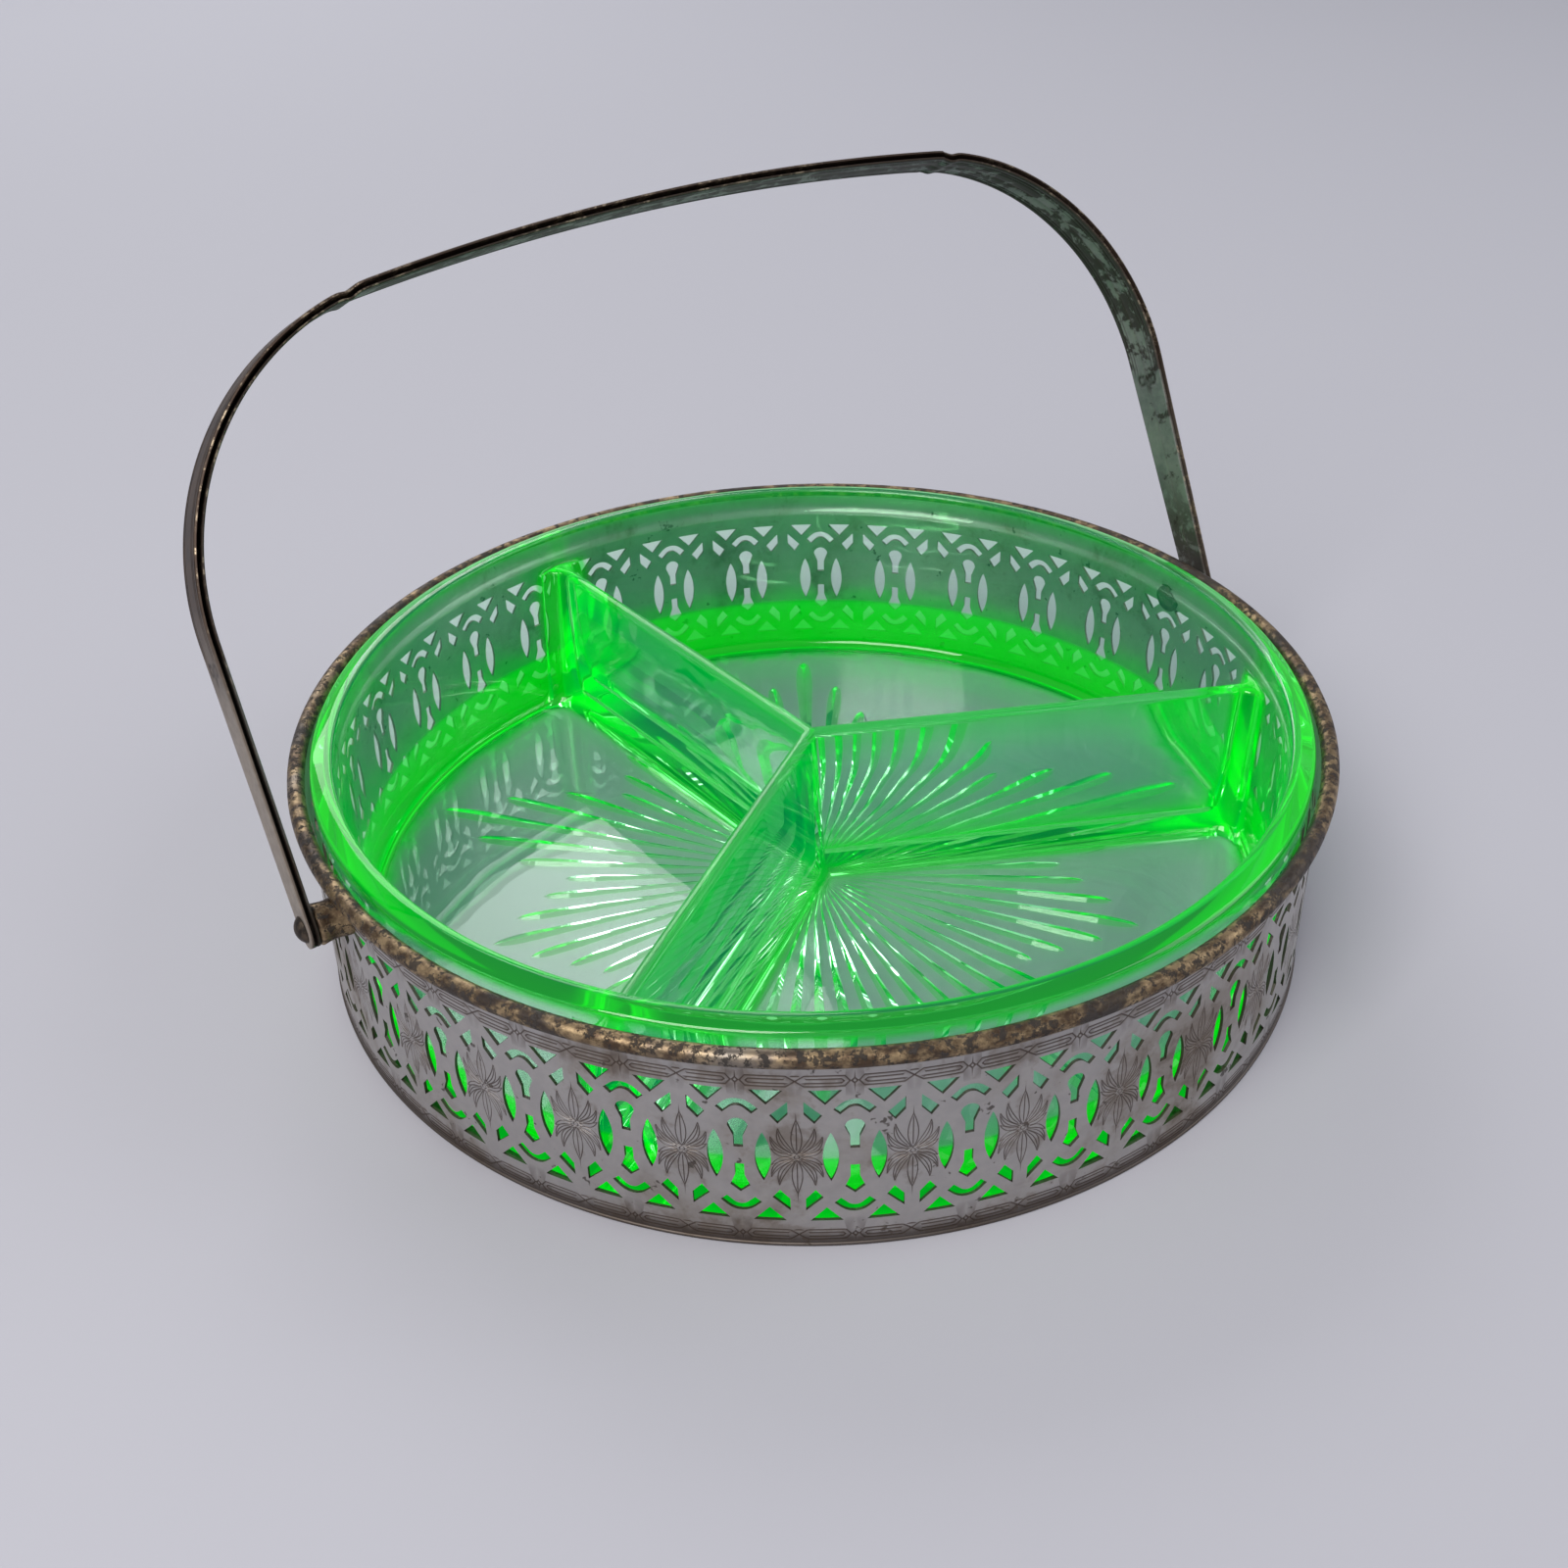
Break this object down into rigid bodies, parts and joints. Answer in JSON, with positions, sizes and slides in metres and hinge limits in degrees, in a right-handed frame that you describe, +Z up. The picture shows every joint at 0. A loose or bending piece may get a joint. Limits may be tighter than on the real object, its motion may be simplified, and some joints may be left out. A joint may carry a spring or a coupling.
{
  "type": "divided relish dish in a pierced gallery frame with a bail handle",
  "caption": "Round divided dish of green uranium glass resting in a pierced silver-plated gallery frame with a swinging bail handle.",
  "frame": {"origin": "centre of the frame's foot, on the table", "axes": "+Z up; the handle's pivot axis runs along X; the resting handle leans back towards +Y"},
  "size_m": [0.2216, 0.208, 0.1391],
  "materials": {
    "green_glass": "fire-polished pressed glass, uranium green",
    "worn_silver_plate": "worn silver plate over brass, dull, with tarnish pits",
    "brassy_bead": "plate worn to brass, with black corrosion",
    "iron_wire": "plain drawn wire",
    "tarnished_strap": "dark brown tarnish, worn to tan along the edges",
    "dark_rivet": "dark tarnished brass"
  },
  "bodies": {
    "frame": {"gallery_band": "worn_silver_plate", "rim_bead": "brassy_bead", "rim_wire": "iron_wire", "base_ring": "worn_silver_plate", "left_boss": "brassy_bead", "right_boss": "brassy_bead", "left_rivet": "dark_rivet", "right_rivet": "dark_rivet", "left_washer": "dark_rivet", "right_washer": "dark_rivet"},
    "handle": {"bail_handle": "tarnished_strap"},
    "dish": {"glass_dish": "green_glass"}
  },
  "joints": [
    {"name": "bail_hinge", "type": "hinge", "parent": "frame", "child": "handle", "pos_m": [0, 0, 0.0385], "axis": [1, 0, 0], "range_deg": [-79, 133]},
    {"name": "dish_lift", "type": "slide", "parent": "frame", "child": "dish", "axis": [0, 0, 1], "range_m": [0, 0.055]}
  ]
}
